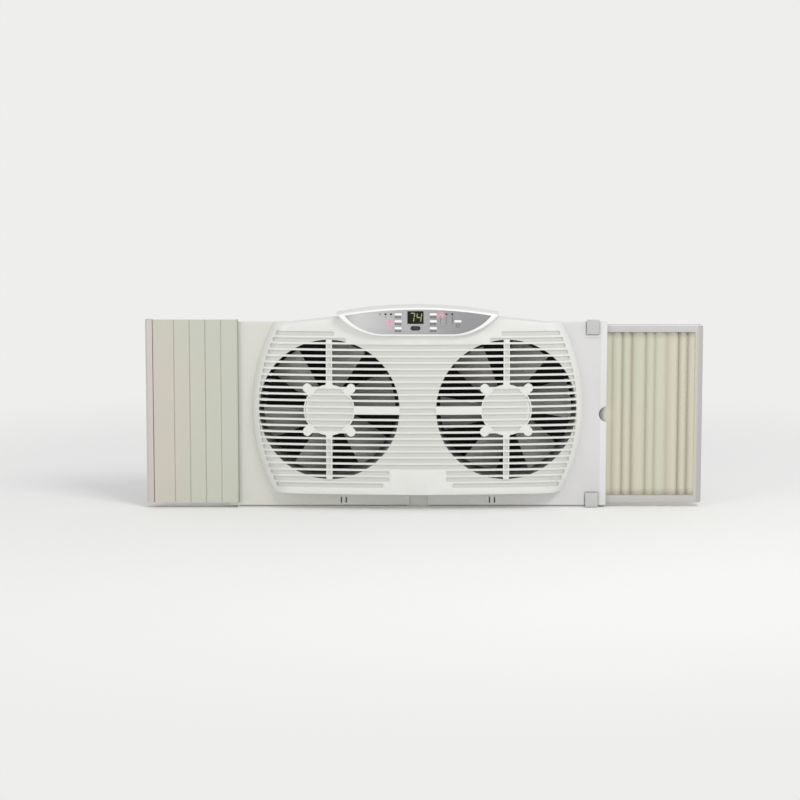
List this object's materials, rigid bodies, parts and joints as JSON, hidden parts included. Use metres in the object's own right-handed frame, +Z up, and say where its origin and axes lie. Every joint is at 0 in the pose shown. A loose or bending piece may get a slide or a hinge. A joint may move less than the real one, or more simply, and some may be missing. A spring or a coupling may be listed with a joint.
{
  "type": "window fan",
  "caption": "twin reversible window fan with louvred bowed front, central control visor with display and push buttons, sliding pleated side extenders and corner slide locks",
  "frame": {"origin": "on the sill, under the middle of the rear shell; +Z up, the room side faces -Y, X across the window", "axes": "X runs across the window (width with both extenders out), -Y faces the room, Z is up"},
  "size_m": [0.924, 0.1244, 0.34],
  "materials": {
    "body_plastic": "fine satin moulded surface",
    "rear_plastic": "fine satin moulded surface",
    "face_grey": "smooth silver-grey",
    "display_dark": "dark smoked olive lens",
    "window_dark": "dark smoked lens",
    "led_dark": "tinted light pipes",
    "button_white": "smooth white",
    "board_green": "solder mask",
    "module_black": "black housing",
    "switch_black": "black housing",
    "board_tan": "bare laminate",
    "core_steel": "laminated steel",
    "lead_grey": "insulated lead",
    "grommet_black": "matte",
    "screw_steel": "plated",
    "bell_metal": "die cast",
    "copper": "enamelled winding wire",
    "bush_bronze": "sintered",
    "shaft_steel": "ground",
    "impeller_grey": "satin moulded",
    "frame_plastic": "satin moulded",
    "pleat_cream": "soft satin sheet",
    "slat_cream": "soft satin sheet",
    "lock_plastic": "satin moulded"
  },
  "bodies": {
    "housing": {"front_shell": "body_plastic", "rear_shell": "rear_plastic", "control_face": "face_grey", "display_lens": "display_dark", "ir_window": "window_dark", "indicator_leds": "led_dark", "control_board": "board_green", "display_module": "module_black", "tact_switches": "switch_black", "power_board": "board_tan", "transformer": "core_steel", "wiring_harness": "lead_grey", "cord_grommet": "grommet_black", "housing_screws": "screw_steel", "motor_front_bell_left": "bell_metal", "motor_rear_bell_left": "bell_metal", "stator_left": "core_steel", "windings_left": "copper", "bushes_left": "bush_bronze", "motor_screws_left": "screw_steel", "motor_front_bell_right": "bell_metal", "motor_rear_bell_right": "bell_metal", "stator_right": "core_steel", "windings_right": "copper", "bushes_right": "bush_bronze", "motor_screws_right": "screw_steel", "right_curtain": "pleat_cream", "left_curtain": "slat_cream", "left_curtain_clamp": "slat_cream"},
    "fan_left": {"rotor_left": "core_steel", "shaft_left": "shaft_steel", "impeller_left": "impeller_grey", "impeller_nut_left": "screw_steel"},
    "fan_right": {"rotor_right": "core_steel", "shaft_right": "shaft_steel", "impeller_right": "impeller_grey", "impeller_nut_right": "screw_steel"},
    "extender_right": {"right_frame": "frame_plastic"},
    "extender_left": {"left_frame": "frame_plastic", "left_stile_cap": "frame_plastic"},
    "lock_upper": {"lock_upper": "lock_plastic"},
    "lock_lower": {"lock_lower": "lock_plastic"},
    "key_left_top": {"button_left_top": "button_white"},
    "key_left_mid": {"button_left_mid": "button_white"},
    "key_left_low": {"button_left_low": "button_white"},
    "key_right_top": {"button_right_top": "button_white"},
    "key_right_mid": {"button_right_mid": "button_white"},
    "key_right_low": {"button_right_low": "button_white"},
    "key_power": {"button_power": "button_white"}
  },
  "joints": [
    {"name": "spin_left", "type": "hinge", "parent": "housing", "child": "fan_left", "pos_m": [-0.146, -0.036, 0.169], "axis": [0, 1, 0], "continuous": true},
    {"name": "spin_right", "type": "hinge", "parent": "housing", "child": "fan_right", "pos_m": [0.146, -0.036, 0.169], "axis": [0, 1, 0], "continuous": true},
    {"name": "slide_right", "type": "slide", "parent": "housing", "child": "extender_right", "axis": [1, 0, 0], "range_m": [-0.11, 0], "deforming": ["right_curtain"]},
    {"name": "slide_left", "type": "slide", "parent": "housing", "child": "extender_left", "axis": [1, 0, 0], "range_m": [0, 0.11], "deforming": ["left_curtain"]},
    {"name": "slide_lock_upper", "type": "slide", "parent": "housing", "child": "lock_upper", "axis": [0, 0, 1], "range_m": [-0.004, 0]},
    {"name": "slide_lock_lower", "type": "slide", "parent": "housing", "child": "lock_lower", "axis": [0, 0, 1], "range_m": [0, 0.004]},
    {"name": "press_left_top", "type": "slide", "parent": "housing", "child": "key_left_top", "axis": [0, 1, 0], "range_m": [0, 0.0008], "stiffness_N_per_m": 400, "springref_m": -0.0006},
    {"name": "press_left_mid", "type": "slide", "parent": "housing", "child": "key_left_mid", "axis": [0, 1, 0], "range_m": [0, 0.0008], "stiffness_N_per_m": 400, "springref_m": -0.0006},
    {"name": "press_left_low", "type": "slide", "parent": "housing", "child": "key_left_low", "axis": [0, 1, 0], "range_m": [0, 0.0008], "stiffness_N_per_m": 400, "springref_m": -0.0006},
    {"name": "press_right_top", "type": "slide", "parent": "housing", "child": "key_right_top", "axis": [0, 1, 0], "range_m": [0, 0.0008], "stiffness_N_per_m": 400, "springref_m": -0.0006},
    {"name": "press_right_mid", "type": "slide", "parent": "housing", "child": "key_right_mid", "axis": [0, 1, 0], "range_m": [0, 0.0008], "stiffness_N_per_m": 400, "springref_m": -0.0006},
    {"name": "press_right_low", "type": "slide", "parent": "housing", "child": "key_right_low", "axis": [0, 1, 0], "range_m": [0, 0.0008], "stiffness_N_per_m": 400, "springref_m": -0.0006},
    {"name": "press_power", "type": "slide", "parent": "housing", "child": "key_power", "axis": [0, 1, 0], "range_m": [0, 0.0008], "stiffness_N_per_m": 400, "springref_m": -0.0006}
  ]
}
